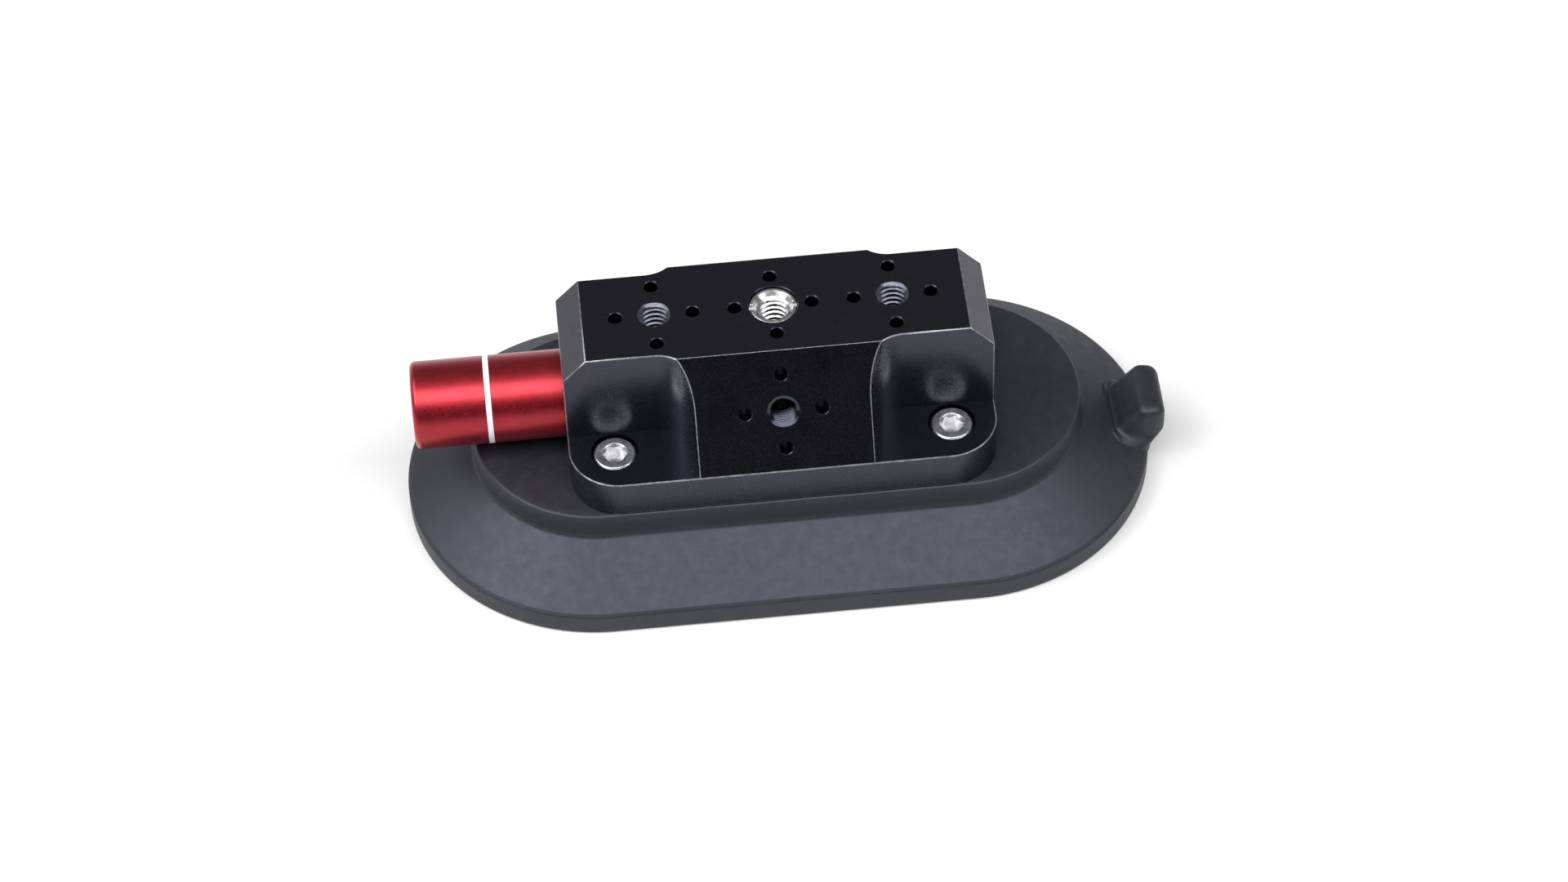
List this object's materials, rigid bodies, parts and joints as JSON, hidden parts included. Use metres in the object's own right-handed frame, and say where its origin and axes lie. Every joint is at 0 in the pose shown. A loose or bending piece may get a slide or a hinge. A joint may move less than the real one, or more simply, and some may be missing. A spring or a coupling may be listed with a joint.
{
  "type": "vacuum suction mounting block",
  "caption": "Machined mounting block with threaded holes on a hand-pumped oblong rubber suction pad, for fixing a camera or light to a smooth surface.",
  "frame": {"origin": "centre of the pad's sealing plane, under the centre threaded hole", "axes": "+X along the block and the pump, away from the plunger; +Z out of the top threaded holes, away from the surface that the pad holds"},
  "size_m": [0.1515, 0.0772, 0.0482],
  "materials": {
    "black_anodised": "satin black anodised, machined and bead blasted",
    "red_anodised": "satin red anodised, turned",
    "pad_rubber": "matte moulded",
    "white_band": "matte white",
    "stainless": "bright stainless",
    "plate_steel": "plain steel",
    "brass": "turned brass",
    "spring_steel": "drawn wire",
    "seal_rubber": "matte",
    "black_plastic": "matte",
    "bearing_plastic": "matte"
  },
  "bodies": {
    "base": {"mounting_block": "black_anodised", "suction_pad": "pad_rubber", "backing_plate": "plate_steel", "insert_front_left": "brass", "insert_front_right": "brass", "insert_rear_left": "brass", "insert_rear_right": "brass", "cap_screw_front_left": "stainless", "cap_screw_front_right": "stainless", "cap_screw_rear_left": "stainless", "cap_screw_rear_right": "stainless", "reducer_bushing": "stainless", "return_spring": "spring_steel", "spring_rod": "spring_steel", "cylinder_plug": "black_anodised", "plug_seal": "seal_rubber", "wiper_seal": "seal_rubber", "valve_body": "brass", "valve_spring": "spring_steel", "valve_retainer": "brass", "port_seal": "seal_rubber", "inlet_screen": "plate_steel"},
    "plunger": {"plunger_shell": "red_anodised", "indicator_ring": "white_band", "piston_head": "black_plastic", "piston_seal": "seal_rubber", "wear_ring": "bearing_plastic"},
    "poppet": {"valve_poppet": "bearing_plastic"},
    "tab": {"lift_tab": "pad_rubber"}
  },
  "joints": [
    {"name": "plunger_slide", "type": "slide", "parent": "base", "child": "plunger", "axis": [1, 0, 0], "range_m": [0, 0.028], "stiffness_N_per_m": 250, "springref_m": -0.02, "deforming": ["return_spring"]},
    {"name": "poppet_slide", "type": "slide", "parent": "base", "child": "poppet", "axis": [0, 0, 1], "range_m": [0, 0.0012], "stiffness_N_per_m": 60, "springref_m": -0.002, "deforming": ["valve_spring"]},
    {"name": "tab_lift", "type": "hinge", "parent": "base", "child": "tab", "pos_m": [0.066, 0, 0.00892], "axis": [0, -1, 0], "range_deg": [0, 22], "stiffness_Nm_per_rad": 0.3}
  ]
}
